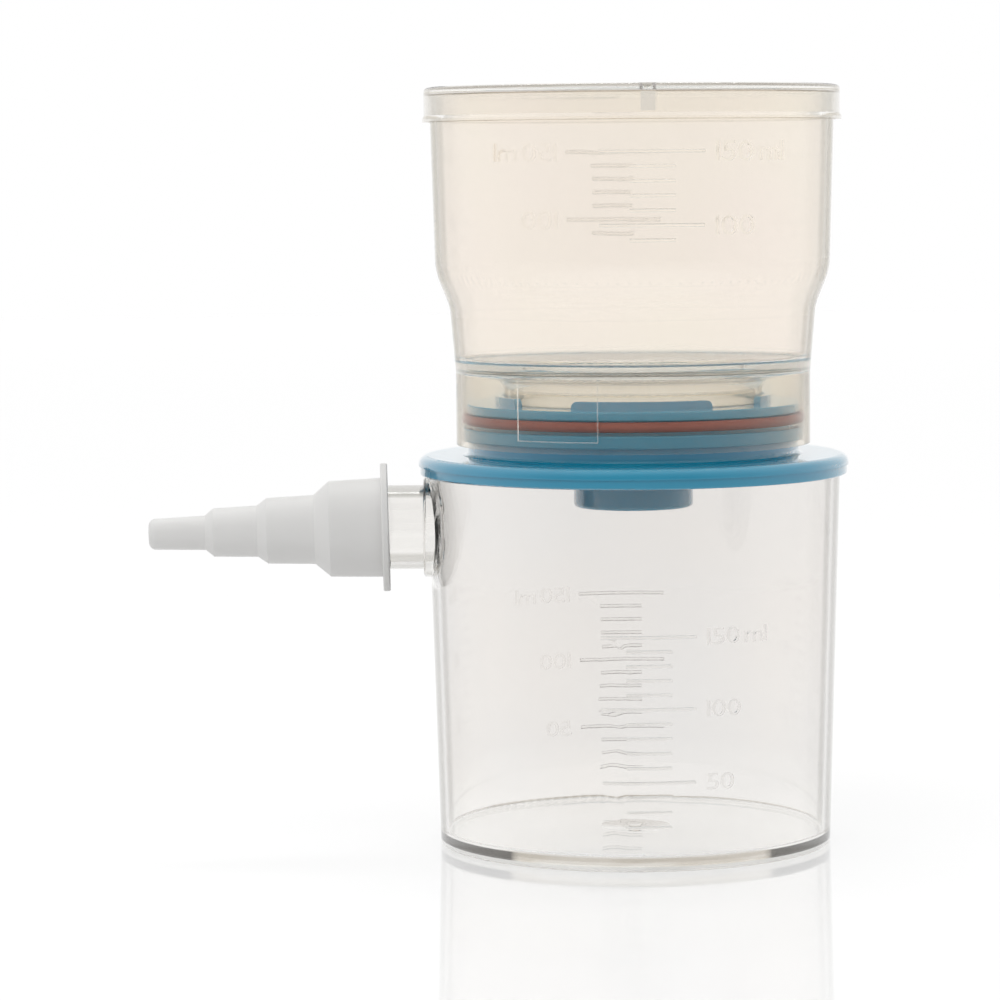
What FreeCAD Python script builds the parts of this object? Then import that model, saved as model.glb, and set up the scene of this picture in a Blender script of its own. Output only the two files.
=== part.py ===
import FreeCAD, Part
import os
import re
import Sketcher

from FreeCAD import Placement, Rotation, Vector

# Vacuum filtration unit for 150 ml: a clear receiver with a side arm, a filter base with its seal,
# pad and membrane, a funnel cup pushed over the base, a lid and a stepped hose adapter.
# Millimetres and degrees. Z is the unit's axis, the table is z = 0, the side arm points along -X and
# the front, which carries the scales, faces -Y. Angles round the axis are measured from the front.

SIZES = {
    "capacity": 150,
    # Membrane and pad: the membrane's standard radius sets the unit's width
    "membrane_radius": 23.5,
    "membrane_thickness": 0.15,
    "membrane_clearance": 0.4,
    "pad_thickness": 0.8,
    # Receiver: a tapered beaker on a foot ring
    "receiver_ledge": 4.45,
    "receiver_draft": 0.0274,
    "receiver_wall": 1.35,
    "receiver_floor": 1.6,
    "receiver_freeboard": 27.775,
    "foot_height": 1.0,
    "foot_width": 1.9,
    "foot_round": 0.4,
    "floor_corner": 0.4,
    "rim_round": 0.3,
    "gate_radius": 6.4,
    "gate_depth": 0.4,
    "gate_nub_radius": 1.0,
    # Side arm of the receiver
    "arm_gap": 0.45,
    "arm_length": 16.65,
    "arm_radius": 7.7,
    "arm_wall": 1.3,
    "arm_tip_round": 0.4,
    "boss_width": 1.45,
    "boss_height": 1.0,
    "boss_round": 0.5,
    # Filter base: the disc that closes the receiver
    "disc_overhang": 1.55,
    "disc_plate": 1.8,
    "disc_land": 0.2,
    "rim_engagement": 1.8,
    "rim_clearance": 0.08,
    "parting_height": 1.7,
    "parting_step": 0.3,
    "guide_wall": 1.5,
    # Filter base: the hub with the gland for the seal
    "neck_relief": 0.9,
    "neck_height": 2.8,
    "neck_round": 1.0,
    "land_height": 2.4,
    "land_clearance": 0.3,
    "land_round": 0.3,
    "gland_width": 2.5,
    "gland_top_wall": 1.7,
    "upper_land_clearance": 1.0,
    "hub_ledge": 5.1,
    "hub_wall": 1.8,
    # Filter base: castellations round the membrane, drain deck and outlet
    "castle_wall": 1.3,
    "castle_height": 1.45,
    "castle_sweep": 59.4,
    "castle_turn": 2.1,
    "castle_round": 1.2,
    "castle_count": 4,
    "deck_thickness": 2.6,
    "drain_border": 3.5,
    "drain_width": 1.5,
    "drain_depth": 1.1,
    "drain_ring_count": 5,
    "drain_channel_count": 8,
    "drain_hole_radius": 2.6,
    "outlet_radius": 10.9,
    "outlet_wall": 1.6,
    "outlet_drop": 6.1,
    "outlet_round": 0.7,
    # Seal
    "seal_section": 1.8,
    "seal_clearance": 0.04,
    "seal_inset": 0.1,
    # Funnel cup: skirt, waist, shoulder and rim
    "cup_wall": 1.0,
    "cup_draft": 0.0271,
    "cup_freeboard": 10.49,
    "skirt_wall": 0.95,
    "skirt_gap": 2.0,
    "waist_rise": 12.0,
    "waist_flare": 1.0,
    "waist_round": 10.0,
    "shoulder_rise": 6.4,
    "shoulder_step": 2.57,
    "shoulder_round": 12.0,
    # Funnel cup: inner floor and throat
    "shelf_rise": 5.45,
    "shelf_fall": 1.5,
    "shelf_thickness": 2.3,
    "shelf_corner": 1.2,
    "throat_wall": 1.1,
    "throat_round": 1.2,
    "throat_corner": 2.4,
    # Funnel cup: plain panel on the skirt
    "panel_turn": -27.0,
    "panel_sweep": 28.0,
    "panel_depth": 0.15,
    "panel_foot": 2.1,
    # Lid
    "lid_plate": 1.3,
    "lid_wall": 0.75,
    "lid_clearance": 0.25,
    "lid_depth": 5.0,
    "lid_round": 0.8,
    "lip_width": 0.3,
    "lip_height": 0.6,
    "vent_turn": 2.4,
    "vent_width": 3.2,
    "vent_depth": 0.4,
    "vent_height": 3.4,
    "vent_notch_depth": 1.1,
    # Raised scales on the receiver and the cup
    "scale_margin": 5.0,
    "mark_rise": 0.2,
    "mark_root": 0.4,
    "mark_thickness": 0.45,
    "receiver_scale_turn": 2.1,
    "receiver_major_sweep": 26.0,
    "receiver_minor_sweep": 12.6,
    "cup_scale_turn": 3.8,
    "cup_major_sweep": 29.3,
    "cup_minor_sweep": 12.7,
    # Hose adapter: a flanged socket, then three steps, each after a cone
    "socket_depth": 9.2,
    "socket_fit": 0.05,
    "socket_wall": 1.3,
    "socket_floor": 1.6,
    "flange_width": 2.65,
    "flange_thickness": 1.3,
    "flange_round": 0.3,
    "step_wall": 1.15,
    "step_draft": 0.035,
    "first_cone_length": 2.8,
    "second_step_radius": 6.3,
    "second_step_length": 8.6,
    "second_cone_length": 1.8,
    "third_step_radius": 4.7,
    "third_step_length": 8.0,
    "third_cone_length": 1.5,
    "fourth_step_radius": 3.15,
    "fourth_step_length": 10.3,
    "tip_bore_radius": 1.35,
    "tip_flat": 0.15,
}

MILLILITRE = 1000
MINOR_STEP = 10
MAJOR_STEP = 50


def cone_volume(first_radius, second_radius, height):
    """Formula for the volume of a cone cut between two radii."""
    radii = f"({first_radius})^2 + ({first_radius}) * ({second_radius}) + ({second_radius})^2"
    return f"pi / 3 * ({height}) * ({radii})"


def fill_height(volume, start_radius, slope):
    """Formula for the depth of a volume in a cone that widens by the slope from its start radius."""
    surface_radius = f"(3 * {slope} * {volume} / pi + {start_radius}^3)^(1 / 3)"
    radii = f"({surface_radius})^2 + {surface_radius} * {start_radius} + {start_radius}^2"
    return f"3 * {volume} / pi / ({radii})"


def receiver_level(volume):
    """Formula for the level of a volume in the receiver."""
    return f"floor_top + {fill_height(volume, 'floor_radius', 'receiver_draft')}"


def cup_level(volume):
    """Formula for the level of a volume in the cup, counted from its shoulder."""
    return f"shoulder_level + {fill_height(f'({volume} - lower_volume)', 'shoulder_bore', 'cup_draft')}"


# Everything that follows from the sizes above: each value is a formula over them.
DERIVED = {
    "full_volume": f"capacity * {MILLILITRE}",
    # Widths, from the membrane outwards
    "seat_radius": "membrane_radius + membrane_clearance",
    "castle_radius": "seat_radius + castle_wall",
    "upper_land_radius": "castle_radius + hub_ledge",
    "skirt_inner_radius": "upper_land_radius + upper_land_clearance",
    "skirt_radius": "skirt_inner_radius + skirt_wall",
    "foot_radius": "skirt_inner_radius + receiver_ledge",
    # Receiver
    "floor_top": "foot_height + receiver_floor",
    "floor_radius": "foot_radius + receiver_draft * floor_top - receiver_wall",
    "receiver_height": receiver_level("full_volume") + " + receiver_freeboard",
    "receiver_rim_radius": "foot_radius + receiver_draft * receiver_height",
    "receiver_mouth_radius": "receiver_rim_radius - receiver_wall",
    "boss_radius": "arm_radius + boss_width",
    "arm_bore_radius": "arm_radius - arm_wall",
    "arm_level": "receiver_height - rim_engagement - arm_gap - boss_radius",
    "arm_root": "foot_radius + receiver_draft * arm_level",
    "arm_reach": "arm_root + arm_length",
    "boss_reach": "arm_root + boss_height",
    # Filter base, from the receiver's rim upwards
    "disc_radius": "receiver_rim_radius + disc_overhang",
    "disc_top": "receiver_height + disc_plate",
    "lip_bottom": "receiver_height - rim_engagement",
    "lip_inner_radius": "receiver_rim_radius + rim_clearance",
    "lip_radius": "disc_radius - parting_step",
    "parting_level": "lip_bottom + parting_height",
    "disc_round": "disc_top - parting_level - disc_land",
    "guide_radius": "receiver_mouth_radius - receiver_draft * rim_engagement - rim_clearance",
    "land_radius": "skirt_inner_radius - land_clearance",
    "land_bottom": "disc_top + neck_height",
    "neck_radius": "land_radius - neck_relief",
    "gland_bottom": "land_bottom + land_height",
    "gland_top": "gland_bottom + gland_width",
    "hub_top": "gland_top + gland_top_wall",
    "seal_radius": "skirt_inner_radius - seal_clearance - seal_section / 2",
    "seal_level": "gland_top - seal_inset - seal_section / 2",
    "gland_radius": "seal_radius - seal_section / 2 - seal_clearance",
    "hub_inner_radius": "gland_radius - hub_wall",
    "castle_top": "hub_top + castle_height",
    "deck_top": "hub_top - pad_thickness",
    "deck_bottom": "deck_top - deck_thickness",
    "drain_bottom": "deck_top - drain_depth",
    "drain_pitch": "(membrane_radius - drain_border) / drain_ring_count",
    "drain_reach": "drain_pitch * drain_ring_count + drain_width / 2",
    "outlet_bottom": "lip_bottom - outlet_drop",
    "outlet_bore_radius": "outlet_radius - outlet_wall",
    # Funnel cup, which stands on the membrane
    "membrane_top": "hub_top + membrane_thickness",
    "skirt_bottom": "disc_top + skirt_gap",
    "throat_outer_radius": "membrane_radius",
    "throat_radius": "throat_outer_radius - throat_wall",
    "shelf_level": "membrane_top + shelf_rise",
    "shelf_top": "shelf_level + shelf_thickness",
    "shelf_radius": "skirt_radius + waist_flare / waist_rise * shelf_thickness - cup_wall",
    "throat_under": "shelf_level - shelf_fall",
    "throat_top": "shelf_top - shelf_fall",
    "waist_level": "shelf_level + waist_rise",
    "waist_radius": "skirt_radius + waist_flare",
    "waist_bore": "waist_radius - cup_wall",
    "shoulder_level": "waist_level + shoulder_rise",
    "shoulder_radius": "waist_radius + shoulder_step",
    "shoulder_bore": "shoulder_radius - cup_wall",
    # Volume of the funnel below its shoulder, which sets the height of the cup
    "throat_volume": cone_volume("throat_radius", "throat_radius", "throat_top - membrane_top"),
    "shelf_volume": cone_volume("throat_radius", "shelf_radius", "shelf_fall"),
    "waist_volume": cone_volume("shelf_radius", "waist_bore", "waist_level - shelf_top"),
    "shoulder_volume": cone_volume("waist_bore", "shoulder_bore", "shoulder_rise"),
    "lower_volume": "throat_volume + shelf_volume + waist_volume + shoulder_volume",
    "cup_top": cup_level("full_volume") + " + cup_freeboard",
    "cup_rim_radius": "shoulder_radius + cup_draft * (cup_top - shoulder_level)",
    "cup_mouth_radius": "cup_rim_radius - cup_wall",
    # Lid
    "lid_top": "cup_top + lid_plate",
    "lid_bottom": "cup_top - lid_depth",
    "lid_inner_radius": "cup_rim_radius + lid_clearance",
    "lid_radius": "lid_inner_radius + lid_wall",
    "vent_sweep": "2 * asin(vent_width / 2 / lid_inner_radius)",
    # Hose adapter: distances from the unit's axis to the start and end of each step
    "socket_start": "arm_reach - socket_depth",
    "socket_radius": "arm_radius + socket_fit",
    "flange_end": "socket_start + flange_thickness",
    "first_step_radius": "socket_radius + socket_wall",
    "flange_radius": "first_step_radius + flange_width",
    "first_end": "arm_reach + socket_floor",
    "second_start": "first_end + first_cone_length",
    "second_end": "second_start + second_step_length",
    "third_start": "second_end + second_cone_length",
    "third_end": "third_start + third_step_length",
    "fourth_start": "third_end + third_cone_length",
    "adapter_tip": "fourth_start + fourth_step_length",
    "first_end_radius": "first_step_radius - step_draft * (first_end - flange_end)",
    "second_end_radius": "second_step_radius - step_draft * second_step_length",
    "third_end_radius": "third_step_radius - step_draft * third_step_length",
    "tip_radius": "fourth_step_radius - step_draft * fourth_step_length",
    "tip_round": "tip_radius - tip_bore_radius - tip_flat",
}

document = FreeCAD.newDocument("vacuum_filtration_unit")


def linked(formula):
    """Return a formula with each named value pointed at its cell in the sheets."""

    def cell(word):
        name = word.group()
        if name in SIZES:
            return f"Sizes.{name}"
        if name in DERIVED:
            return f"Derived.{name}"
        return name

    return re.sub("[a-z_]+", cell, formula)


def make_sheet(name, cells):
    """Fill a spreadsheet with one named cell to a row."""
    sheet = document.addObject("Spreadsheet::Sheet", name)
    for row, (alias, content) in enumerate(cells.items(), start=1):
        sheet.set(f"A{row}", alias)
        sheet.set(f"B{row}", content)
        sheet.setAlias(f"B{row}", alias)
    return sheet


sizes = make_sheet("Sizes", {name: str(size) for name, size in SIZES.items()})
derived = make_sheet("Derived", {name: "=" + linked(formula) for name, formula in DERIVED.items()})
document.recompute()


def number(formula):
    """Work out a formula over the named values."""
    return float(derived.evalExpression(linked(formula)))


def new_body(name):
    body = document.addObject("PartDesign::Body", name)
    body.Label = name
    return body


def origin_feature(body, role):
    return next(item for item in body.Origin.OriginFeatures if item.Role == role)


def new_sketch(body, name, plane="XZ_Plane", turn="0", distance="0"):
    """Attach a sketch to a plane of the body.

    The turn is an angle about the sketch's upright, and the distance lies along its normal.
    """
    sketch = body.newObject("Sketcher::SketchObject", name)
    sketch.AttachmentSupport = [(origin_feature(body, plane), "")]
    sketch.MapMode = "FlatFace"
    # A first turn of one degree fixes the axis that the formula for the angle turns about.
    sketch.AttachmentOffset = Placement(Vector(), Rotation(Vector(0, 1, 0), 1))
    sketch.setExpression("AttachmentOffset.Rotation.Angle", linked(turn))
    sketch.setExpression("AttachmentOffset.Base.x", linked(f"({distance}) * sin({turn})"))
    sketch.setExpression("AttachmentOffset.Base.z", linked(f"({distance}) * cos({turn})"))
    return sketch


def pin_point(sketch, line, axis, formula):
    """Fix one coordinate of a line's start point with a formula."""
    if formula == "0":
        across = -2 if axis == "X" else -1
        sketch.addConstraint(Sketcher.Constraint("PointOnObject", line, 1, across))
        return
    pin = Sketcher.Constraint(f"Distance{axis}", -1, 1, line, 1, number(formula))
    index = sketch.addConstraint(pin)
    sketch.setExpression(f"Constraints[{index}]", linked(formula))


def draw_outline(sketch, corners):
    """Draw a closed outline whose corners are pairs of formulas."""
    points = [Vector(number(across), number(up), 0) for across, up in corners]
    first = sketch.GeometryCount
    for start, end in zip(points, points[1:] + points[:1]):
        sketch.addGeometry(Part.LineSegment(start, end), False)
    for index, (across, up) in enumerate(corners):
        line = first + index
        following = first + (index + 1) % len(corners)
        sketch.addConstraint(Sketcher.Constraint("Coincident", line, 2, following, 1))
        pin_point(sketch, line, "X", across)
        pin_point(sketch, line, "Y", up)


def draw_circle(sketch, radius, up="0"):
    """Draw a circle on the sketch's upright axis."""
    circle = sketch.addGeometry(Part.Circle(Vector(0, number(up), 0), Vector(0, 0, 1), number(radius)), False)
    index = sketch.addConstraint(Sketcher.Constraint("Radius", circle, number(radius)))
    sketch.setExpression(f"Constraints[{index}]", linked(radius))
    sketch.addConstraint(Sketcher.Constraint("PointOnObject", circle, 3, -2))
    if up == "0":
        sketch.addConstraint(Sketcher.Constraint("PointOnObject", circle, 3, -1))
        return
    index = sketch.addConstraint(Sketcher.Constraint("DistanceY", -1, 1, circle, 3, number(up)))
    sketch.setExpression(f"Constraints[{index}]", linked(up))


def check_change(body, feature, adds):
    """Stop if a feature left the body's volume as it was, or changed it the wrong way."""
    document.recompute()
    before = feature.BaseFeature.Shape.Volume if feature.BaseFeature else 0.0
    change = feature.Shape.Volume - before
    if change * (1 if adds else -1) <= 0:
        raise RuntimeError(f"{body.Label}: {feature.Label} changes the volume by {change:.3f}")


def turn_sketch(body, name, sketch, adds=True, sweep="360"):
    """Turn a sketch about the body's Z axis, with half the sweep to each side of it."""
    feature = body.newObject("PartDesign::Revolution" if adds else "PartDesign::Groove", name)
    feature.Profile = sketch
    feature.ReferenceAxis = (sketch, ["V_Axis"])
    feature.Midplane = True
    feature.setExpression("Angle", linked(sweep))
    check_change(body, feature, adds)
    return feature


def revolve(body, name, corners, adds=True, sweep="360", turn="0"):
    """Draw an outline of (radius, height) pairs at an angle from the XZ plane, and turn it."""
    sketch = new_sketch(body, f"{name}Outline", turn=turn)
    draw_outline(sketch, corners)
    return turn_sketch(body, name, sketch, adds, sweep)


def extrude(body, name, sketch, length, adds=True):
    """Extend a sketch along its normal: a pad adds the solid and a pocket cuts it away."""
    feature = body.newObject("PartDesign::Pad" if adds else "PartDesign::Pocket", name)
    feature.Profile = sketch
    feature.Reversed = not adds
    feature.setExpression("Length", linked(length))
    check_change(body, feature, adds)
    return feature


def polar_pattern(body, name, originals, count):
    """Repeat features evenly round the body's Z axis."""
    pattern = body.newObject("PartDesign::PolarPattern", name)
    pattern.Originals = originals
    pattern.Axis = (origin_feature(body, "Z_Axis"), [""])
    pattern.Angle = 360
    pattern.setExpression("Occurrences", linked(count))
    body.Tip = pattern
    document.recompute()
    return pattern


def ring_edges(shape, rings):
    """Name the circular edges about the Z axis at the given pairs of radius and height formulas."""
    places = [(number(radius), number(height)) for radius, height in rings]
    names = []
    for index, edge in enumerate(shape.Edges, start=1):
        if not isinstance(edge.Curve, Part.Circle):
            continue
        centre = edge.Curve.Center
        for radius, height in places:
            on_axis = abs(centre.x) + abs(centre.y) < 1e-4
            if on_axis and abs(edge.Curve.Radius - radius) + abs(centre.z - height) < 1e-3:
                names.append(f"Edge{index}")
    return names


def fillet(body, name, edges, radius):
    """Round the named edges of the body's last feature."""
    if not edges:
        raise RuntimeError(f"{body.Label}: {name} finds no edge")
    base = body.Tip
    feature = body.newObject("PartDesign::Fillet", name)
    feature.Base = (base, edges)
    feature.setExpression("Radius", linked(radius))
    document.recompute()
    if not feature.isValid():
        raise RuntimeError(f"{body.Label}: {name} can't be rounded")
    return feature


def fillet_rings(body, name, rings, radius):
    return fillet(body, name, ring_edges(body.Tip.Shape, rings), radius)


def raise_marks(body, name, levels, wall_radius, turn, sweep):
    """Raise one curved bar on the wall at each level; wall_radius gives the radius at a level."""
    sketch = new_sketch(body, f"{name}Outline", turn=f"{turn} - 90")
    for level in levels:
        radius = wall_radius(level)
        draw_outline(sketch, [
            (f"{radius} - mark_root", f"{level} - mark_thickness / 2"),
            (f"{radius} + mark_rise", f"{level} - mark_thickness / 2"),
            (f"{radius} + mark_rise", f"{level} + mark_thickness / 2"),
            (f"{radius} - mark_root", f"{level} + mark_thickness / 2"),
        ])
    return turn_sketch(body, name, sketch, sweep=sweep)


def add_scale(body, owner, level_of, wall_radius, lowest):
    """Raise the marks of a scale on the front of a wall, and repeat them on the back.

    The first mark lies at least the margin above the lowest level, where the wall's cone begins.
    """
    levels = {"major": [], "minor": []}
    for millilitres in range(MINOR_STEP, int(SIZES["capacity"]) + 1, MINOR_STEP):
        level = level_of(f"({millilitres} * {MILLILITRE})")
        if number(f"{level} - {lowest} - scale_margin") >= 0:
            levels["minor" if millilitres % MAJOR_STEP else "major"].append(level)
    turn = f"{owner}_scale_turn"
    rows = []
    for kind, places in levels.items():
        sweep = f"{owner}_{kind}_sweep"
        rows.append(raise_marks(body, f"{kind.title()}Marks", places, wall_radius, turn, sweep))
    polar_pattern(body, "ScaleOnBothSides", rows, "2")


def make_receiver():
    """Beaker on a foot ring, moulded in one with its side arm."""
    body = new_body("receiver")
    revolve(body, "OuterForm", [
        ("0", "0"),
        ("foot_radius", "0"),
        ("receiver_rim_radius", "receiver_height"),
        ("0", "receiver_height"),
    ])

    # The arm and its boss run to the axis, and the cavity then cuts them flush with the wall.
    boss_sketch = new_sketch(body, "BossOutline", "YZ_Plane", distance="-boss_reach")
    draw_circle(boss_sketch, "boss_radius", "arm_level")
    extrude(body, "Boss", boss_sketch, "boss_reach")
    arm_sketch = new_sketch(body, "ArmOutline", "YZ_Plane", distance="-arm_reach")
    draw_circle(arm_sketch, "arm_radius", "arm_level")
    extrude(body, "Arm", arm_sketch, "arm_reach")
    revolve(body, "Cavity", [
        ("0", "floor_top"),
        ("floor_radius", "floor_top"),
        ("receiver_mouth_radius", "receiver_height"),
        ("0", "receiver_height"),
    ], adds=False)
    bore_sketch = new_sketch(body, "BoreOutline", "YZ_Plane", distance="-arm_reach")
    draw_circle(bore_sketch, "arm_bore_radius", "arm_level")
    extrude(body, "ArmBore", bore_sketch, "arm_reach", adds=False)

    revolve(body, "FootRecess", [
        ("0", "0"),
        ("foot_radius - foot_width", "0"),
        ("foot_radius - foot_width", "foot_height"),
        ("0", "foot_height"),
    ], adds=False)
    revolve(body, "GateDimple", [
        ("gate_nub_radius", "floor_top"),
        ("gate_radius", "floor_top"),
        ("gate_nub_radius * 2", "floor_top - gate_depth"),
        ("gate_nub_radius", "floor_top - gate_depth"),
    ], adds=False)

    fillet_rings(body, "FootRound", [("foot_radius", "0")], "foot_round")
    fillet_rings(body, "FloorCorner", [("floor_radius", "floor_top")], "floor_corner")
    rim = [("receiver_rim_radius", "receiver_height"), ("receiver_mouth_radius", "receiver_height")]
    fillet_rings(body, "RimRound", rim, "rim_round")
    fillet(body, "BossRound", arm_edges(body.Tip.Shape, "boss_radius", "boss_reach"), "boss_round")
    fillet(body, "ArmTipRound", arm_edges(body.Tip.Shape, "arm_radius", "arm_reach"), "arm_tip_round")

    add_scale(body, "receiver", receiver_level, receiver_wall_radius, "floor_top")
    return body


def receiver_wall_radius(level):
    return f"foot_radius + receiver_draft * ({level})"


def arm_edges(shape, radius, reach):
    """Name the circular edges about the arm's axis, of one radius, at one distance from the Z axis."""
    names = []
    for index, edge in enumerate(shape.Edges, start=1):
        if not isinstance(edge.Curve, Part.Circle):
            continue
        offset = edge.Curve.Center - Vector(-number(reach), 0, number("arm_level"))
        if offset.Length + abs(edge.Curve.Radius - number(radius)) < 1e-3:
            names.append(f"Edge{index}")
    return names


def make_filter_base():
    """Disc that closes the receiver, with the hub, the seal's gland, the drain deck and the outlet."""
    body = new_body("filter_base")
    revolve(body, "Section", [
        ("outlet_bore_radius", "outlet_bottom"),
        ("outlet_radius", "outlet_bottom"),
        ("outlet_radius", "deck_bottom"),
        ("hub_inner_radius", "deck_bottom"),
        ("hub_inner_radius", "receiver_height"),
        ("guide_radius - guide_wall", "receiver_height"),
        ("guide_radius - guide_wall", "lip_bottom"),
        ("guide_radius", "lip_bottom"),
        ("guide_radius", "receiver_height"),
        ("lip_inner_radius", "receiver_height"),
        ("lip_inner_radius", "lip_bottom"),
        ("lip_radius", "lip_bottom"),
        ("lip_radius", "parting_level"),
        ("disc_radius", "parting_level"),
        ("disc_radius", "disc_top"),
        ("neck_radius", "disc_top"),
        ("neck_radius", "land_bottom"),
        ("land_radius", "land_bottom"),
        ("land_radius", "gland_bottom"),
        ("gland_radius", "gland_bottom"),
        ("gland_radius", "gland_top"),
        ("upper_land_radius", "gland_top"),
        ("upper_land_radius", "hub_top"),
        ("seat_radius", "hub_top"),
        ("seat_radius", "deck_top"),
        ("0", "deck_top"),
        ("0", "deck_bottom"),
        ("outlet_bore_radius", "deck_bottom"),
    ])
    fillet_rings(body, "DiscRound", [("disc_radius", "disc_top")], "disc_round")
    fillet_rings(body, "NeckRound", [("neck_radius", "disc_top")], "neck_round")
    lands = [
        ("land_radius", "land_bottom"),
        ("land_radius", "gland_bottom"),
        ("upper_land_radius", "gland_top"),
        ("upper_land_radius", "hub_top"),
        ("lip_radius", "lip_bottom"),
    ]
    fillet_rings(body, "LandRound", lands, "land_round")
    fillet_rings(body, "OutletRound", [("outlet_radius", "outlet_bottom")], "outlet_round")

    # Ring grooves and radial channels carry the filtrate under the pad to the outlet.
    rings = range(1, int(SIZES["drain_ring_count"]) + 1)
    for ring in rings:
        inner = f"drain_pitch * {ring} - drain_width / 2"
        outer = f"drain_pitch * {ring} + drain_width / 2"
        revolve(body, f"DrainRing{ring}", [
            (inner, "drain_bottom"),
            (outer, "drain_bottom"),
            (outer, "deck_top"),
            (inner, "deck_top"),
        ], adds=False)
    channel_sketch = new_sketch(body, "ChannelOutline", "XY_Plane", distance="drain_bottom")
    draw_outline(channel_sketch, [
        ("0", "-drain_width / 2"),
        ("drain_reach", "-drain_width / 2"),
        ("drain_reach", "drain_width / 2"),
        ("0", "drain_width / 2"),
    ])
    channel = extrude(body, "Channel", channel_sketch, "drain_depth", adds=False)
    polar_pattern(body, "Channels", [channel], "drain_channel_count")
    drain_sketch = new_sketch(body, "DrainOutline", "XY_Plane", distance="deck_bottom")
    draw_circle(drain_sketch, "drain_hole_radius")
    extrude(body, "DrainHole", drain_sketch, "deck_thickness", adds=False)

    castle = revolve(body, "Castle", [
        ("seat_radius", "hub_top - land_round"),
        ("castle_radius", "hub_top - land_round"),
        ("castle_radius", "castle_top"),
        ("seat_radius", "castle_top"),
    ], sweep="castle_sweep", turn="castle_turn - 90")
    polar_pattern(body, "Castles", [castle], "castle_count")
    fillet(body, "CastleRound", castle_corners(body.Tip.Shape), "castle_round")
    return body


def castle_corners(shape):
    """Name the straight edges at both ends of each castellation's top."""
    names = []
    for index, edge in enumerate(shape.Edges, start=1):
        heights = [vertex.Point.z for vertex in edge.Vertexes]
        at_top = all(abs(height - number("castle_top")) < 1e-4 for height in heights)
        if at_top and isinstance(edge.Curve, Part.Line):
            names.append(f"Edge{index}")
    return names


def make_seal():
    """O-ring in the gland, just touching the cup's skirt."""
    seal = document.addObject("Part::Torus", "o_ring")
    seal.Label = "o_ring"
    seal.setExpression("Radius1", linked("seal_radius"))
    seal.setExpression("Radius2", linked("seal_section / 2"))
    seal.setExpression("Placement.Base.z", linked("seal_level"))
    return seal


def make_disc(name, thickness, level):
    """Flat round filter layer of the membrane's size."""
    disc = document.addObject("Part::Cylinder", name)
    disc.Label = name
    disc.setExpression("Radius", linked("membrane_radius"))
    disc.setExpression("Height", linked(thickness))
    disc.setExpression("Placement.Base.z", linked(level))
    return disc


def make_upper_chamber():
    """Funnel cup: one wall from the rim to the skirt, with an inner floor that falls to the throat."""
    body = new_body("upper_chamber")
    revolve(body, "Section", [
        ("skirt_radius", "skirt_bottom"),
        ("skirt_radius", "shelf_level"),
        ("waist_radius", "waist_level"),
        ("shoulder_radius", "shoulder_level"),
        ("cup_rim_radius", "cup_top"),
        ("cup_mouth_radius", "cup_top"),
        ("shoulder_bore", "shoulder_level"),
        ("waist_bore", "waist_level"),
        ("shelf_radius", "shelf_top"),
        ("throat_radius", "throat_top"),
        ("throat_radius", "membrane_top"),
        ("throat_outer_radius", "membrane_top"),
        ("throat_outer_radius", "throat_under"),
        ("skirt_inner_radius", "shelf_level"),
        ("skirt_inner_radius", "skirt_bottom"),
    ])
    fillet_rings(body, "ShoulderOutside", [("shoulder_radius", "shoulder_level")], "shoulder_round")
    fillet_rings(body, "ShoulderInside", [("shoulder_bore", "shoulder_level")], "shoulder_round - cup_wall")
    fillet_rings(body, "WaistOutside", [("waist_radius", "waist_level")], "waist_round")
    fillet_rings(body, "WaistInside", [("waist_bore", "waist_level")], "waist_round + cup_wall")
    fillet_rings(body, "ShelfCorner", [("shelf_radius", "shelf_top")], "shelf_corner")
    fillet_rings(body, "ThroatRound", [("throat_radius", "throat_top")], "throat_round")
    fillet_rings(body, "ThroatCorner", [("throat_outer_radius", "throat_under")], "throat_corner")
    rim = [("cup_rim_radius", "cup_top"), ("cup_mouth_radius", "cup_top")]
    fillet_rings(body, "RimRound", rim, "rim_round")

    revolve(body, "Panel", [
        ("skirt_radius - panel_depth", "skirt_bottom + panel_foot"),
        ("skirt_radius + panel_depth", "skirt_bottom + panel_foot"),
        ("skirt_radius + panel_depth", "shelf_level"),
        ("skirt_radius - panel_depth", "shelf_level"),
    ], adds=False, sweep="panel_sweep", turn="panel_turn - 90")

    add_scale(body, "cup", cup_level, cup_wall_radius, "shoulder_level")
    return body


def cup_wall_radius(level):
    return f"shoulder_radius + cup_draft * ({level} - shoulder_level)"


def make_lid():
    """Cover that rests on the cup's rim, with a flared lip and one vent at its edge."""
    body = new_body("lid")
    revolve(body, "Section", [
        ("0", "cup_top"),
        ("lid_inner_radius", "cup_top"),
        ("lid_inner_radius", "lid_bottom"),
        ("lid_radius + lip_width", "lid_bottom"),
        ("lid_radius + lip_width", "lid_bottom + lip_height"),
        ("lid_radius", "lid_bottom + lip_height * 2"),
        ("lid_radius", "lid_top"),
        ("0", "lid_top"),
    ])
    fillet_rings(body, "EdgeRound", [("lid_radius", "lid_top")], "lid_round")
    revolve(body, "VentChannel", [
        ("lid_inner_radius - vent_depth", "cup_top - vent_height"),
        ("lid_inner_radius + vent_depth", "cup_top - vent_height"),
        ("lid_inner_radius + vent_depth", "cup_top"),
        ("lid_inner_radius - vent_depth", "cup_top"),
    ], adds=False, sweep="vent_sweep", turn="vent_turn - 90")
    notch_sketch = new_sketch(body, "NotchOutline", turn="vent_turn", distance="lid_inner_radius - lid_wall")
    draw_outline(notch_sketch, [
        ("0", "lid_top - vent_notch_depth"),
        ("vent_width / 2", "lid_top"),
        ("-vent_width / 2", "lid_top"),
    ])
    extrude(body, "VentNotch", notch_sketch, "lid_wall * 3", adds=False)
    return body


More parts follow.
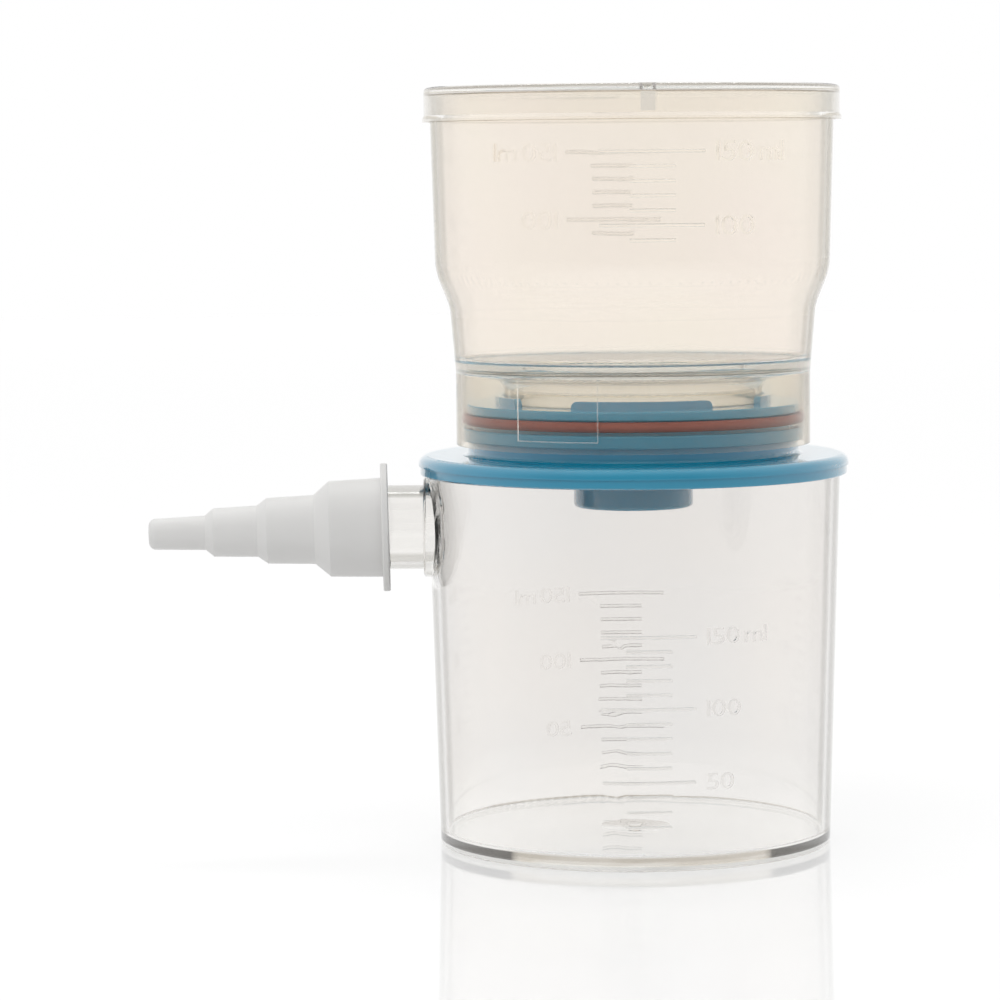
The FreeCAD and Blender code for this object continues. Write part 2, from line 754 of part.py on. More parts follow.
def make_hose_adapter():
    """Stepped hose adapter, turned about the side arm; its Z axis points away from the receiver."""
    body = new_body("hose_adapter")
    body.Placement = Placement(Vector(), Rotation(Vector(0, 1, 0), -90))
    body.setExpression("Placement.Base.z", linked("arm_level"))
    outer = [
        ("flange_radius", "socket_start"),
        ("flange_radius", "flange_end"),
        ("first_step_radius", "flange_end"),
        ("first_end_radius", "first_end"),
        ("second_step_radius", "second_start"),
        ("second_end_radius", "second_end"),
        ("third_step_radius", "third_start"),
        ("third_end_radius", "third_end"),
        ("fourth_step_radius", "fourth_start"),
        ("tip_radius", "adapter_tip"),
    ]
    # The arm stops against the shoulder at the socket's end.
    inner = [
        ("tip_bore_radius", "adapter_tip"),
        ("tip_bore_radius", "fourth_start"),
        ("third_end_radius - step_wall", "third_end"),
        ("third_step_radius - step_wall", "third_start"),
        ("second_end_radius - step_wall", "second_end"),
        ("second_step_radius - step_wall", "second_start"),
        ("arm_bore_radius", "arm_reach"),
        ("socket_radius", "arm_reach"),
        ("socket_radius", "socket_start"),
    ]
    revolve(body, "Section", outer + inner)
    fillet_rings(body, "TipRound", [("tip_radius", "adapter_tip")], "tip_round")
    flange = [("flange_radius", "socket_start"), ("flange_radius", "flange_end")]
    fillet_rings(body, "FlangeRound", flange, "flange_round")
    return body


parts = [
    make_receiver(),
    make_filter_base(),
    make_seal(),
    make_disc("support_pad", "pad_thickness", "deck_top"),
    make_disc("membrane", "membrane_thickness", "hub_top"),
    make_upper_chamber(),
    make_lid(),
    make_hose_adapter(),
]
document.recompute()

for item in document.Objects:
    if "Invalid" in item.State or "Error" in item.State:
        raise RuntimeError(f"{item.Label} did not recompute: {item.State}")
for part in parts:
    if part.Shape.isNull() or not part.Shape.isValid():
        raise RuntimeError(f"{part.Label} has no valid shape")

os.makedirs("parts", exist_ok=True)
for part in parts:
    part.Shape.exportStep(f"parts/{part.Label}.step")
    box = part.Shape.BoundBox
    print(f"{part.Label}: {len(part.Shape.Solids)} solid, {part.Shape.Volume:.0f} mm3, "
          f"x {box.XMin:.2f} {box.XMax:.2f}, z {box.ZMin:.2f} {box.ZMax:.2f}")
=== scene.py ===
import math

import bmesh
import bpy
from mathutils import Matrix, Vector


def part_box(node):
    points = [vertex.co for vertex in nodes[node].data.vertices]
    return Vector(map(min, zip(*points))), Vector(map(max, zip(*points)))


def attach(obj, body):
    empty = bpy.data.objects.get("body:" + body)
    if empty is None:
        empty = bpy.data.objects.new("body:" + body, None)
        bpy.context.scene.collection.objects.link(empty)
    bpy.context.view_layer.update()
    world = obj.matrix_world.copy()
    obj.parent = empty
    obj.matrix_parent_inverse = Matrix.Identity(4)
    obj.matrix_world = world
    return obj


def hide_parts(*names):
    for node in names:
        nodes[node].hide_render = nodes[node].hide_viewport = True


# Looks of the vacuum filtration unit: metres, in the frame of the solids. Z is the unit's axis, the
# side arm points along -X and the front, with the scales, faces -Y. Angles round the axis are in
# degrees from the front, positive towards +X.

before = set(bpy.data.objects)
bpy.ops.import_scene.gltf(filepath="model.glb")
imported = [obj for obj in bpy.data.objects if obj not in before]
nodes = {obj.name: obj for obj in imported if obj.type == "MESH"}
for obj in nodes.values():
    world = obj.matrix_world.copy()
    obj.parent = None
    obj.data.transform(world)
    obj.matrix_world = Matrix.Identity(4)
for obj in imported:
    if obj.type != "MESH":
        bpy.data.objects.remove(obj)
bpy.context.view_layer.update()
MM = 0.001


# ---------------------------------------------------------------- shader helpers

# Parts of a noise's range over which its effect goes from nothing to all.
MOTTLE = (0.35, 0.65)
GRAIN = (0.3, 0.7)
STREAK = (0.45, 0.56)

# Painted light and shade on clear plastic also follow the flatness of a face: 0 for an upright one, 1 for
# a level one. These are the parts of that range over which the painted rim shade and bands go and the
# painted tint of level faces comes in, and then the shares of two other painted tints at several
# flatnesses: shade on rounded edges and on the side arm's top and underside.
RIM_GOES = (0.35, 0.6)
BAND_GOES = (0.75, 0.95)
LEVEL_COMES = (0.85, 0.97)
BEND_SHARES = ((0.45, 0.0), (0.6, 1.0), (0.85, 1.0), (0.97, 0.0))
CROWN_SHARES = ((0.82, 0.0), (0.88, 1.0))

# Shares of painted shade, after how far a wall turns away from the eye: 0 is face-on, 1 edge-on.
RIM_SHADE_SHARES = ((0.50, 0.0), (0.60, 0.1), (0.72, 0.12), (0.78, 0.9), (0.84, 1.0), (0.93, 0.8))
PAINTED_FOOT_SHARES = ((0.08, 0.0), (0.2, 0.35), (0.5, 1.0))
BAND_SHARES = ((0.215, 0.0), (0.25, 1.0))

PLASTIC_IOR = 1.5
TRAPPED_AFTER = 2.5  # reflections
WAVE_DEPTH = 0.02 * MM
GRAIN_DEPTH = 0.003 * MM
FELT_DEPTH = 0.05 * MM
EDGE_FADE = 0.15 * MM
FRONT_WALL = 20.0 * MM  # patches lie further forward than this

# The painted shade at the edge of a band comes in a little later towards +X, up to this much
# at this distance.
BAND_SKEW = 0.055
BAND_SKEW_AT = 24.0 * MM


class Shader:
    """A new material, with short ways to add nodes and link them."""

    def __init__(self, name):
        self.material = bpy.data.materials.new(name)
        self.material.use_nodes = True
        self.take(self.material.node_tree, "OutputMaterial")

    @classmethod
    def on_tree(cls, tree, output):
        """The same for a node tree that is there already, such as the world's."""
        made = cls.__new__(cls)
        made.take(tree, output)
        return made

    def take(self, tree, output):
        self.tree = tree
        tree.nodes.clear()
        self.output = self.node(output)

    def node(self, kind, inputs=None, **settings):
        made = self.tree.nodes.new(f"ShaderNode{kind}")
        for key, value in settings.items():
            setattr(made, key, value)
        for key, value in (inputs or {}).items():
            self.put(made.inputs[key], value)
        return made

    def put(self, socket, value):
        if isinstance(value, bpy.types.NodeSocket):
            self.tree.links.new(value, socket)
        else:
            socket.default_value = value

    def position(self):
        """Object coordinates: a node's object lies at the origin, so they are metres in the frame."""
        return self.node("TexCoord").outputs["Object"]

    def normal(self):
        return self.node("NewGeometry").outputs["Normal"]

    def split(self, vector):
        return self.node("SeparateXYZ", {"Vector": vector}).outputs

    def noise(self, scale, detail=2.0, roughness=0.5, vector=None):
        texture = self.node("TexNoise", {"Scale": scale, "Detail": detail, "Roughness": roughness})
        self.put(texture.inputs["Vector"], vector or self.position())
        return texture.outputs["Fac"]

    def stretched(self, x, y, z):
        return self.node("Mapping", {"Vector": self.position(), "Scale": (x, y, z)}).outputs["Vector"]

    def span(self, value, low, high, out_low, out_high):
        made = self.node("MapRange", {"Value": value, "From Min": low, "From Max": high,
                                      "To Min": out_low, "To Max": out_high})
        return made.outputs["Result"]

    def ramp(self, value, stops):
        """Grey level that follows the stops, each a position and a level."""
        made = self.node("ValToRGB", {"Fac": value})
        elements = made.color_ramp.elements
        while len(elements) < len(stops):
            elements.new(1.0)
        for element, (position, level) in zip(elements, stops):
            element.position = position
            element.color = (level, level, level, 1.0)
        return made.outputs["Color"]

    def blend(self, share, first, second, kind="RGBA"):
        """Colour between two others or, of kind FLOAT, number between two others."""
        made = self.node("Mix", {"Factor": share, "A": first, "B": second}, data_type=kind)
        return made.outputs["Result"]

    def calculate(self, operation, *numbers):
        made = self.node("Math", dict(enumerate(numbers)), operation=operation)
        return made.outputs["Value"]

    def product(self, share, *factors):
        for factor in factors:
            share = self.calculate("MULTIPLY", share, factor)
        return share

    def within(self, value, low, high):
        """1 between two limits and 0 outside them, with a soft edge at each."""
        return self.product(self.span(value, low, low + EDGE_FADE, 0.0, 1.0),
                            self.span(value, high - EDGE_FADE, high, 1.0, 0.0))

    def mixed(self, share, first, second):
        made = self.node("MixShader", {"Fac": share})
        self.put(made.inputs[1], first)
        self.put(made.inputs[2], second)
        return made.outputs["Shader"]

    def let_out(self, body, tint):
        """Light still inside a clear wall after several reflections goes straight on, and is tinted."""
        depth = self.node("LightPath").outputs["Glossy Depth"]
        trapped = self.calculate("GREATER_THAN", depth, TRAPPED_AFTER)
        straight = self.node("BsdfPrincipled", {
            "Base Color": tint, "Roughness": 0.0, "IOR": 1.0, "Transmission Weight": 1.0})
        return self.mixed(trapped, body, straight.outputs["BSDF"])

    def let_lamps_through(self, body, tint):
        """Clear plastic lets the light of lamps pass, tinted, so that its shadow is light."""
        passed = self.node("BsdfTransparent", {"Color": tint}).outputs["BSDF"]
        lamp_ray = self.node("LightPath").outputs["Is Shadow Ray"]
        return self.mixed(lamp_ray, body, passed)

    def seen(self):
        """1 for what the camera sees, straight or through clear plastic, and 0 for other light."""
        path = self.node("LightPath").outputs
        return self.calculate("MAXIMUM", path["Is Camera Ray"], path["Is Transmission Ray"])

    def bump(self, height, distance):
        made = self.node("Bump", {"Height": height, "Distance": distance, "Strength": 1.0})
        return made.outputs["Normal"]

    def rough(self, grain, middle, spread):
        """Roughness that a fine grain varies by a share of its middle."""
        return self.span(grain, *GRAIN, middle * (1 - spread), middle * (1 + spread))

    def finish(self, surface):
        self.put(self.output.inputs["Surface"], surface)
        return self.material


def colour(red, green, blue):
    return (red, green, blue, 1.0)


def painted_band(low, high, front, streaks, side):
    """Stretch of upright wall that is seen through an edge, the long way, with painted light and shade:
    its levels in mm, the painted tints of that edge and of the streaks in it where it faces the eye, and
    its painted shade where it turns away."""
    return low * MM, high * MM, colour(*front), colour(*streaks), colour(*side)


def painted_patch(left, right, low, high, tint):
    """Small box of the front wall tinted with painted shade: its ends in X and in Z in mm, and the tint.
    """
    return left * MM, right * MM, low * MM, high * MM, colour(*tint)


def clear_plastic(name, tints, rim, trapped, shadow, roughness, veil=None, foot=None, painted_bands=(),
                  painted_patches=(), bend_shade=None, flat=None, painted_spout=None):
    """Moulded clear plastic: faintly mottled, with painted shade where a wall is seen edge-on, open to
    lamplight.

    tints: the two of its mottle. rim: painted shade where an upright wall turns away from the eye.
    trapped: tint of light that gets out after several reflections. shadow: of lamplight that passes.
    veil: share of milky haze at each of several levels, the lowest first.
    foot: levels over which it fades out upwards, and painted tints of the walls below, where they face
    the eye and where they turn away: painted light on the receiver, painted shade on the cup.
    bands and patches: see band and patch.
    bend: level below which edges are rounded, and their painted shade. flat: painted tint of level faces.
    spout: how far out along -X and how high up it begins, and the tints of its sides, painted light, and
    of its top and underside, painted shade.
    """
    shader = Shader(name)
    where = shader.split(shader.position())
    height = where["Z"]
    flatness = shader.calculate("ABSOLUTE", shader.split(shader.normal())["Z"])
    facing = shader.node("LayerWeight", {"Blend": 0.5}).outputs["Facing"]
    mottle = shader.noise(scale=30.0, detail=1.0)
    middle = shader.blend(shader.span(mottle, *MOTTLE, 0.0, 1.0), *tints)
    # Painted light and shade on the lowest walls.
    if foot:
        low, high, front, side = foot
        lit = shader.blend(shader.ramp(facing, PAINTED_FOOT_SHARES), front, side)
        middle = shader.blend(shader.span(height, low, high, 1.0, 0.0), middle, lit)
    # Painted shade: upright walls turn dark where they are seen edge-on.
    upright = shader.span(flatness, *RIM_GOES, 1.0, 0.0)
    tint = shader.blend(shader.product(shader.ramp(facing, RIM_SHADE_SHARES), upright), middle, rim)
    # Painted light and shade, with painted streaks, along edges seen the long way; dark where they turn
    # away.
    for low, high, front, streaks, side in painted_bands:
        share = shader.product(shader.within(height, low, high),
                               shader.span(flatness, *BAND_GOES, 1.0, 0.0))
        streak = shader.noise(scale=60.0, vector=shader.stretched(1, 1, 9))
        lit = shader.blend(shader.span(streak, *STREAK, 0.0, 1.0), front, streaks)
        skew = shader.span(where["X"], 0.0, BAND_SKEW_AT, 0.0, BAND_SKEW)
        turn = shader.calculate("SUBTRACT", facing, skew)
        tint = shader.blend(share, tint, shader.blend(shader.ramp(turn, BAND_SHARES), lit, side))
    # Painted shade in small boxes of the front wall.
    for left, right, low, high, patch_shade in painted_patches:
        in_front = shader.span(where["Y"], -FRONT_WALL, -FRONT_WALL - MM, 0.0, 1.0)
        share = shader.product(shader.within(where["X"], left, right), in_front,
                               shader.within(height, low, high))
        tint = shader.blend(share, tint, patch_shade)
    # Painted shade on rounded edges below a level.
    if bend_shade:
        top, bend_shade_tint = bend_shade
        share = shader.product(shader.ramp(flatness, BEND_SHARES),
                               shader.span(height, top, top + MM, 1.0, 0.0))
        tint = shader.blend(share, tint, bend_shade_tint)
    # Painted light and shade on level faces: lighter than the wall on the receiver, darker on the cup.
    if flat:
        tint = shader.blend(shader.span(flatness, *LEVEL_COMES, 0.0, 1.0), tint, flat)
    # Painted light on the sides of the side arm and painted shade on its top and underside.
    if painted_spout:
        reach, low, side, crown_shade = painted_spout
        share = shader.product(shader.span(where["X"], -reach - MM, -reach, 1.0, 0.0),
                               shader.span(height, low, low + MM, 0.0, 1.0))
        sides = shader.blend(shader.ramp(flatness, CROWN_SHARES), side, crown_shade)
        tint = shader.blend(share, tint, sides)
    flow = shader.noise(scale=18.0, vector=shader.stretched(1, 1, 0.4))
    grain = shader.noise(scale=900.0, detail=3.0)
    glass = shader.node("BsdfPrincipled", {
        "Base Color": tint,
        "Roughness": shader.rough(grain, roughness, spread=0.2),
        "IOR": PLASTIC_IOR,
        "Transmission Weight": 1.0,
        "Normal": shader.bump(flow, WAVE_DEPTH),
    })
    body = shader.let_out(glass.outputs["BSDF"], trapped)
    if veil:
        top = veil[-1][0]
        rise = shader.span(height, 0.0, top, 0.0, 1.0)
        haze = shader.node("BsdfPrincipled", {
            "Base Color": tints[0], "Roughness": 0.5, "IOR": PLASTIC_IOR})
        share = shader.ramp(rise, [(stop / top, part) for stop, part in veil])
        body = shader.mixed(share, body, haze.outputs["BSDF"])
    return shader.finish(shader.let_lamps_through(body, shadow))


def moulded_plastic(name, base, speck, roughness, coat=0.0, painted_light_above=None):
    """Opaque moulded plastic with a faint mottle and a fine grain.

    painted_light_above: levels between which a lighter colour comes in upwards, and that colour, which is
    painted light.
    """
    shader = Shader(name)
    mottle = shader.noise(scale=60.0, detail=3.0)
    grain = shader.noise(scale=2500.0)
    tint = shader.blend(shader.span(mottle, *MOTTLE, 0.0, 1.0), base, speck)
    # Painted light: the upper part gets a lighter colour.
    if painted_light_above:
        low, high, light = painted_light_above
        height = shader.split(shader.position())["Z"]
        tint = shader.blend(shader.span(height, low, high, 0.0, 1.0), tint, light)
    surface = shader.node("BsdfPrincipled", {
        "Base Color": tint,
        "Roughness": shader.rough(grain, roughness, spread=0.15),
        "IOR": PLASTIC_IOR,
        "Coat Weight": coat,
        "Coat Roughness": 0.04,
        "Normal": shader.bump(grain, GRAIN_DEPTH),
    })
    return shader.finish(surface.outputs["BSDF"])


def fibre_disc(name, base, shade, scale):
    """White filter medium: a felt of fine fibres."""
    shader = Shader(name)
    felt = shader.noise(scale=scale, detail=6.0, roughness=0.7)
    surface = shader.node("BsdfPrincipled", {
        "Base Color": shader.blend(shader.span(felt, *GRAIN, 0.0, 1.0), shade, base),
        "Roughness": 0.9,
        "Normal": shader.bump(felt, FELT_DEPTH),
    })
    return shader.finish(surface.outputs["BSDF"])


# ---------------------------------------------------------------- materials

WHITE = colour(1.0, 1.0, 1.0)

# Apart from the two mottle tints, the tints given to each clear plastic below are painted light and
# shade.
receiver_plastic = clear_plastic(
    "receiver_clear", (colour(0.905, 0.885, 0.865), colour(0.895, 0.885, 0.875)),
    rim=colour(0.24, 0.23, 0.205),
    trapped=colour(0.80, 0.785, 0.76),
    shadow=colour(0.985, 0.985, 0.98),
    roughness=0.02,
    foot=(4.0 * MM, 14.0 * MM, colour(0.985, 0.975, 0.96), colour(0.985, 0.975, 0.96)),
    bend_shade=(8.0 * MM, colour(0.6, 0.59, 0.56)),
    flat=colour(1.0, 1.0, 0.995),
    painted_spout=(34.5 * MM, 47.0 * MM, colour(0.93, 0.92, 0.905), colour(0.62, 0.61, 0.58)),
    painted_bands=(
        painted_band(1.5, 2.6, front=(0.70, 0.65, 0.57), streaks=(0.56, 0.51, 0.43), side=(0.055, 0.053, 0.05)),
        painted_band(0.85, 1.85, front=(1.0, 0.97, 0.90), streaks=(0.80, 0.74, 0.64), side=(0.05, 0.048, 0.045)),
        painted_band(0.0, 0.95, front=(0.86, 0.85, 0.83), streaks=(0.78, 0.77, 0.75), side=(0.72, 0.72, 0.71)),
    ))
cup_plastic = clear_plastic(
    "cup_amber", (colour(0.95, 0.913, 0.855), colour(0.95, 0.905, 0.86)),
    rim=colour(0.19, 0.16, 0.10),
    trapped=colour(0.82, 0.79, 0.74),
    shadow=colour(0.96, 0.94, 0.90),
    roughness=0.05,
    veil=((79.0 * MM, 0.0), (81.5 * MM, 0.05), (87.0 * MM, 0.05), (89.0 * MM, 0.02)),
    foot=(85.9 * MM, 86.2 * MM, colour(0.90, 0.87, 0.81), colour(0.79, 0.74, 0.65)),
    flat=colour(0.50, 0.51, 0.52),
    painted_bands=(
        painted_band(86.2, 88.4, front=(0.67, 0.67, 0.65), streaks=(0.72, 0.715, 0.69), side=(0.63, 0.625, 0.60)),
    ))
lid_plastic = clear_plastic(
    "lid_clear", (colour(1.0, 0.995, 0.97), colour(0.995, 0.985, 0.97)),
    rim=colour(0.62, 0.58, 0.52),
    trapped=colour(0.84, 0.82, 0.77),
    shadow=colour(0.97, 0.97, 0.95),
    roughness=0.04,
    painted_bands=(
        painted_band(131.2, 131.75, front=(0.8, 0.77, 0.71), streaks=(0.74, 0.71, 0.65), side=(0.6, 0.56, 0.5)),
        painted_band(136.15, 136.6, front=(0.55, 0.51, 0.46), streaks=(0.62, 0.58, 0.52),
             side=(0.42, 0.38, 0.33)),
        painted_band(137.1, 137.9, front=(0.35, 0.32, 0.27), streaks=(0.43, 0.4, 0.35), side=(0.27, 0.24, 0.2)),
    ),
    painted_patches=(
        painted_patch(0.3, 3.0, 132.9, 136.4, tint=(0.88, 0.89, 0.90)),
        painted_patch(0.1, 0.8, 136.5, 137.8, tint=(0.25, 0.23, 0.22)),
        painted_patch(2.4, 3.1, 136.5, 137.8, tint=(0.25, 0.23, 0.22)),
    ))
# The blue base's hub over the disc is given a lighter blue: painted light.
base_plastic = moulded_plastic(
    "base_blue", base=colour(0.010, 0.228, 0.375), speck=colour(0.014, 0.248, 0.395), roughness=0.2,
    coat=1.0, painted_light_above=(71.5 * MM, 74.0 * MM, colour(0.016, 0.31, 0.55)))
seal_rubber = moulded_plastic(
    "seal_silicone", base=colour(0.33, 0.08, 0.055), speck=colour(0.37, 0.095, 0.065), roughness=0.5)
adapter_plastic = moulded_plastic(
    "adapter_white", base=colour(0.68, 0.675, 0.665), speck=colour(0.705, 0.70, 0.69), roughness=0.5)
pad_felt = fibre_disc(
    "pad_felt", base=colour(0.82, 0.82, 0.80), shade=colour(0.70, 0.70, 0.68), scale=1500.0)
membrane_sheet = fibre_disc(
    "membrane_sheet", base=colour(0.86, 0.86, 0.85), shade=colour(0.80, 0.80, 0.79), scale=4000.0)

FINISHES = {
    "receiver": receiver_plastic,
    "filter_base": base_plastic,
    "o_ring": seal_rubber,
    "support_pad": pad_felt,
    "membrane": membrane_sheet,
    "upper_chamber": cup_plastic,
    "lid": lid_plastic,
    "hose_adapter": adapter_plastic,
}
for name, material in FINISHES.items():
    nodes[name].data.materials.clear()
    nodes[name].data.materials.append(material)


# ---------------------------------------------------------------- shapes on a round wall

SUNK = 0.05 * MM  # depth to which trim goes into its wall
NEAR = 0.2


def cylindrical(vertex):
    """Level, radius and angle of a point, the angle in degrees from the front towards +X."""
    return vertex.z, math.hypot(vertex.x, vertex.y), math.degrees(math.atan2(vertex.x, -vertex.y))


def point_at(radius, angle, level):
    turn = math.radians(angle)
    return Vector((radius * math.sin(turn), -radius * math.cos(turn), level))


def is_near(measure, size):
    """Whether a measure taken off a mesh is a known size, give or take a fifth."""
    return abs(measure - size) < NEAR * size


def half_round(sides):
    """Points of a bead's rounded section of unit radius, from side to side: sideways, outwards."""
    leans = [math.pi * side / sides for side in range(sides + 1)]
    return [(math.cos(lean), math.sin(lean)) for lean in leans]


def skin(shape, rows):
    """Closed faces of a bar, from its rows of points, each of which goes once round it."""
    for row, following in zip(rows, rows[1:]):
        for side in range(len(row)):
            corner = (side + 1) % len(row)
            shape.faces.new((row[side], row[corner], following[corner], following[side]))
    shape.faces.new(rows[0])
    shape.faces.new(list(reversed(rows[-1])))


def make_piece(name, shape, material, sharp_angle):
    """Object from a shape, smooth but for edges that turn by more than an angle in degrees."""
    bmesh.ops.recalc_face_normals(shape, faces=shape.faces)
    mesh = bpy.data.meshes.new(name)
    shape.to_mesh(mesh)
    shape.free()
    mesh.shade_smooth()
    mesh.set_sharp_from_angle(angle=math.radians(sharp_angle))
    mesh.materials.append(material)
    piece = bpy.data.objects.new(name, mesh)
    bpy.context.scene.collection.objects.link(piece)
    return piece


# ---------------------------------------------------------------- scales

MARK_RISE = 0.2 * MM
MARK_REACH = 30.0  # degrees from the front
MAJOR_SHARE = 0.9
MARK_IOR = 1.25
# Painted light and shade of the marks: the range of a normal's Z over which lit turns into shaded.
MARK_SLOPES = (-0.6, 0.6)  # Z of a normal
RIDGE_RISE = 0.3 * MM
RIDGE_HEIGHT = 0.62 * MM
RIDGE_SIDES = 8
RIDGE_LEAST_STEPS = 6
DIGIT_HEIGHT = 2.9 * MM
DIGIT_STRETCH = 1.4
DIGIT_RISE = 0.25 * MM
LETTER_HALF = 0.5
LABEL_GAP = 2.0 * MM
LETTER_GAP = 0.4 * MM
WORD_GAP = 0.7 * MM


def find_marks(node):
    """Level, wall radius and end angles of each raised mark on the front of a node's outer wall."""
    rings = {}
    for vertex in nodes[node].data.vertices:
        level, radius, angle = cylindrical(vertex.co)
        if abs(angle) < MARK_REACH:
            rings.setdefault(round(level / MM, 2), []).append((radius, angle))
    edges = []
    for level in sorted(rings):
        radii = [radius for radius, _ in rings[level]]
        wall = min(radii)
        if is_near(max(radii) - wall, MARK_RISE):
            angles = [angle for radius, angle in rings[level] if is_near(radius - wall, MARK_RISE)]
            edges.append((level * MM, wall, min(angles), max(angles)))
    marks = []
    for (low, low_wall, first, last), (high, high_wall, _, _) in zip(edges[::2], edges[1::2]):
        marks.append(((low + high) / 2, (low_wall + high_wall) / 2, first, last))
    return marks


def add_ridge(shape, mark, turn):
    """Rounded bead over one raised mark, turned round the axis."""
    level, wall, first, last = mark
    steps = max(RIDGE_LEAST_STEPS, round(last - first))
    rows = []
    for step in range(steps + 1):
        angle = turn + first + (last - first) * step / steps
        row = []
        for upwards, outwards in half_round(RIDGE_SIDES):
            radius = wall - SUNK + (RIDGE_RISE + SUNK) * outwards
            row.append(shape.verts.new(point_at(radius, angle, level + RIDGE_HEIGHT / 2 * upwards)))
        rows.append(row)
    skin(shape, rows)


def flat_letter(letter):
    """Mesh of one letter of the built-in font, a unit thick."""
    curve = bpy.data.curves.new("letter", "FONT")
    curve.body = letter
    curve.extrude = LETTER_HALF
    curve.resolution_u = 4
    holder = bpy.data.objects.new("letter", curve)
    flat = bpy.data.meshes.new_from_object(holder)
    bpy.data.objects.remove(holder)
    bpy.data.curves.remove(curve)
    return flat


def zero_height():
    """Height of a zero in the built-in font."""
    flat = flat_letter("0")
    height = max(vertex.co.y for vertex in flat.vertices)
    bpy.data.meshes.remove(flat)
    return height


def add_numeral(shape, text, mark, turn, size):
    """Raised figures wrapped round the wall, beside the end of a mark."""
    level, wall, _, last = mark
    scale = DIGIT_HEIGHT * size / zero_height()
    start = LABEL_GAP
    for letter in text:
        if letter == " ":
            start += WORD_GAP * size
            continue
        flat = flat_letter(letter)
        left = min(vertex.co.x for vertex in flat.vertices)
        width = (max(vertex.co.x for vertex in flat.vertices) - left) * scale * DIGIT_STRETCH
        for vertex in flat.vertices:
            along = start + (vertex.co.x - left) * scale * DIGIT_STRETCH
            radius = wall - SUNK + (DIGIT_RISE + SUNK) * (vertex.co.z + LETTER_HALF)
            angle = turn + last + math.degrees(along / wall)
            height = level + vertex.co.y * scale - DIGIT_HEIGHT * size / 2
            vertex.co = point_at(radius, angle, height)
        shape.from_mesh(flat)
        bpy.data.meshes.remove(flat)
        start += width + LETTER_GAP * size


def add_scale(name, node, body, labels, material, size=1.0):
    """Beads and figures of a graduated scale, on the front and again on the back."""
    marks = find_marks(node)
    widest = max(last - first for _, _, first, last in marks)
    major = [mark for mark in marks if mark[3] - mark[2] > MAJOR_SHARE * widest]
    shape = bmesh.new()
    for turn in (0.0, 180.0):
        for mark in marks:
            add_ridge(shape, mark, turn)
        for text, mark in zip(labels, major, strict=True):
            add_numeral(shape, text, mark, turn, size)
    piece = make_piece(name, shape, material, sharp_angle=40.0)
    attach(piece, body)


def mark_plastic(name, lit, shaded, haze=0.0):
    """Clear plastic of the raised marks, with painted light and shade: their upper slopes are tinted
    darker than their lower ones.
    """
    shader = Shader(name)
    slope = shader.span(shader.split(shader.normal())["Z"], *MARK_SLOPES, 0.0, 1.0)
    grain = shader.noise(scale=900.0, detail=3.0)
    glass = shader.node("BsdfPrincipled", {
        "Base Color": shader.blend(slope, lit, shaded),
        "Roughness": shader.rough(grain, 0.06, spread=1 / 3),
        "IOR": MARK_IOR,
        "Transmission Weight": 1.0,
    })
    body = shader.let_out(glass.outputs["BSDF"], lit)
    if haze:
        milk = shader.node("BsdfPrincipled", {"Base Color": lit, "Roughness": 0.4, "IOR": PLASTIC_IOR})
        body = shader.mixed(haze, body, milk.outputs["BSDF"])
    return shader.finish(shader.let_lamps_through(body, lit))


# The lit and shaded tints of the marks are painted light and shade.
receiver_marks = mark_plastic("receiver_marks", lit=WHITE, shaded=colour(0.93, 0.925, 0.91))
cup_marks = mark_plastic("cup_marks", lit=colour(1.0, 1.0, 0.99), shaded=colour(0.97, 0.965, 0.945))
add_scale("receiver_scale", node="receiver", body="receiver", labels=("50", "100", "150 ml"),
          material=receiver_marks)
add_scale("cup_scale", node="upper_chamber", body="funnel", labels=("100", "150 ml"),
          material=cup_marks, size=1.2)


# ---------------------------------------------------------------- sagging adapter

SAG = math.radians(1.14)
SWING = math.radians(1.6)


def sag_adapter():
    """The soft adapter, which hangs down and swings forward a little from the end of the arm. Its tip
    reaches as far out as when it is straight."""
    mesh = nodes["hose_adapter"].data.copy()
    mesh.name = "sagging_adapter"
    lowest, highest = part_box("hose_adapter")
    pivot = Matrix.Translation((highest[0], 0.0, (lowest[2] + highest[2]) / 2))
    turn = Matrix.Rotation(SWING, 4, "Z") @ Matrix.Rotation(-SAG, 4, "Y")
    mesh.transform(pivot @ turn @ pivot.inverted())
    tip = min(vertex.co.x for vertex in mesh.vertices)
    mesh.transform(Matrix.Translation((lowest[0] - tip, 0.0, 0.0)))
    piece = bpy.data.objects.new("sagging_adapter", mesh)
    bpy.context.scene.collection.objects.link(piece)
    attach(piece, "hose_end")
    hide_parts("hose_adapter")


sag_adapter()


# ---------------------------------------------------------------- outline of the panel

SKIRT_LOW = 74.0 * MM
SKIRT_HIGH = 86.5 * MM
PANEL_DEPTH = 0.15 * MM
EDGE_WIDTH = 0.25 * MM
EDGE_RISE = 0.1 * MM
EDGE_SIDES = 6
UPRIGHT_STEPS = 8


def find_panel():
    """Wall radius, end angles and end levels of the plain panel, which lies deeper in the skirt."""
    ring = [cylindrical(vertex.co) for vertex in nodes["upper_chamber"].data.vertices
            if SKIRT_LOW < vertex.co.z < SKIRT_HIGH]
    wall = max(radius for _, radius, _ in ring)
    panel = [(level, angle) for level, radius, angle in ring if is_near(wall - radius, PANEL_DEPTH)]
    levels = [level for level, _ in panel]
    angles = [angle for _, angle in panel]
    return wall, min(angles), max(angles), min(levels), max(levels)


